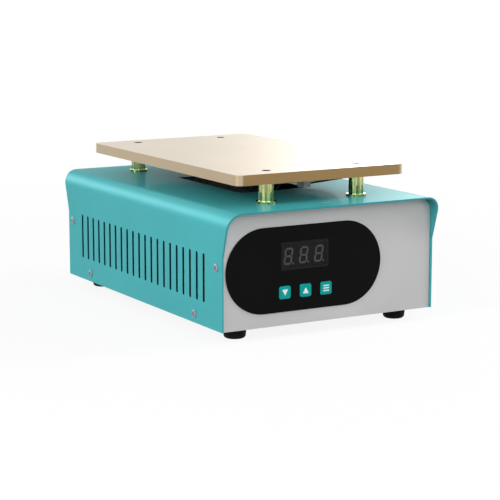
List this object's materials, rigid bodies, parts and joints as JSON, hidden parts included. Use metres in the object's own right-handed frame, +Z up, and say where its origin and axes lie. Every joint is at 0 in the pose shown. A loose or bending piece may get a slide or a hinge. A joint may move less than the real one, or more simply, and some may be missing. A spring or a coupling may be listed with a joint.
{
  "type": "pcb preheater",
  "caption": "Bench preheater for circuit boards: flat heating plate on posts above a bent, slotted cover with a front control panel and a rear mains inlet and rocker.",
  "frame": {"origin": "on the table, midway between the four feet", "axes": "+Z up, front panel towards -Y, +X to the right seen from the front"},
  "size_m": [0.1528, 0.2354, 0.0991],
  "materials": {
    "cover_paint": "satin teal paint",
    "panel_paint": "satin silver-grey paint",
    "tray_sheet": "grey paint",
    "anodised_plate": "fine blasted, pale gold anodised",
    "yellow_zinc": "yellow zinc plated",
    "bright_steel": "nickel plated",
    "dark_steel": "black oxide",
    "dull_steel": "dull zinc plated",
    "black_paint": "matt black paint",
    "foot_rubber": "matt",
    "overlay_film": "satin film",
    "window_plastic": "smoked clear",
    "display_face": "grey resin with pale segments",
    "button_plastic": "satin teal",
    "black_plastic": "moulded",
    "rocker_plastic": "polished",
    "circuit_board": "green solder mask",
    "brass": "plain",
    "mica": "mica sheet",
    "ceramic_fibre": "grey fibre felt",
    "black_sleeve": "silicone sleeve",
    "mains_sleeve": "insulated lead",
    "ribbon_plastic": "flat cable",
    "core_steel": "varnished sheets",
    "copper_winding": "wound wire under yellow tape",
    "sink_aluminium": "extruded",
    "fuse_glass": "clear tube",
    "terminal_plastic": "moulded"
  },
  "bodies": {
    "housing": {"top_cover": "cover_paint", "base_tray": "tray_sheet", "front_panel": "panel_paint", "rear_panel": "panel_paint", "cover_side_screws": "dull_steel", "cover_top_screws": "dull_steel", "panel_base_screws": "bright_steel", "rubber_feet": "foot_rubber", "foot_screws": "bright_steel", "foot_nuts": "bright_steel", "heating_plate": "anodised_plate", "plate_screws": "dark_steel", "plate_posts": "yellow_zinc", "post_washers": "yellow_zinc", "post_nuts": "bright_steel", "heater_element": "mica", "insulating_pad": "ceramic_fibre", "heater_clamp": "black_paint", "clamp_screws": "bright_steel", "temperature_sensor": "dull_steel", "sensor_lead": "black_sleeve", "heater_leads": "black_sleeve", "bonding_lead": "black_sleeve", "ring_terminals": "bright_steel", "bonding_hardware": "bright_steel", "control_overlay": "overlay_film", "display_window": "window_plastic", "display_module": "display_face", "push_switches": "black_plastic", "control_board": "circuit_board", "control_spacers": "brass", "control_screws": "bright_steel", "control_chip": "black_plastic", "ribbon_headers": "black_plastic", "ribbon_cable": "ribbon_plastic", "power_board": "circuit_board", "power_spacers": "brass", "power_screws": "bright_steel", "transformer_core": "core_steel", "transformer_coil": "copper_winding", "triac": "black_plastic", "triac_heatsink": "sink_aluminium", "triac_screw": "bright_steel", "fuse": "fuse_glass", "fuse_clips": "brass", "mains_terminals": "terminal_plastic", "board_terminals": "terminal_plastic", "mains_leads": "mains_sleeve", "earth_stud": "bright_steel", "mains_inlet": "black_plastic", "inlet_pins": "brass", "inlet_screws": "bright_steel", "inlet_nuts": "bright_steel", "switch_body": "black_plastic", "switch_tabs": "brass"},
    "button_down": {"button_down": "button_plastic"},
    "button_up": {"button_up": "button_plastic"},
    "button_set": {"button_set": "button_plastic"},
    "rocker": {"switch_rocker": "rocker_plastic"}
  },
  "joints": [
    {"name": "button_down_press", "type": "slide", "parent": "housing", "child": "button_down", "axis": [0, 1, 0], "range_m": [0, 0.0006], "stiffness_N_per_m": 1500, "springref_m": -0.0002},
    {"name": "button_up_press", "type": "slide", "parent": "housing", "child": "button_up", "axis": [0, 1, 0], "range_m": [0, 0.0006], "stiffness_N_per_m": 1500, "springref_m": -0.0002},
    {"name": "button_set_press", "type": "slide", "parent": "housing", "child": "button_set", "axis": [0, 1, 0], "range_m": [0, 0.0006], "stiffness_N_per_m": 1500, "springref_m": -0.0002},
    {"name": "power_rocker", "type": "hinge", "parent": "housing", "child": "rocker", "pos_m": [0.036, 0.1091, 0.0416], "axis": [1, 0, 0], "range_deg": [0, 24]}
  ]
}
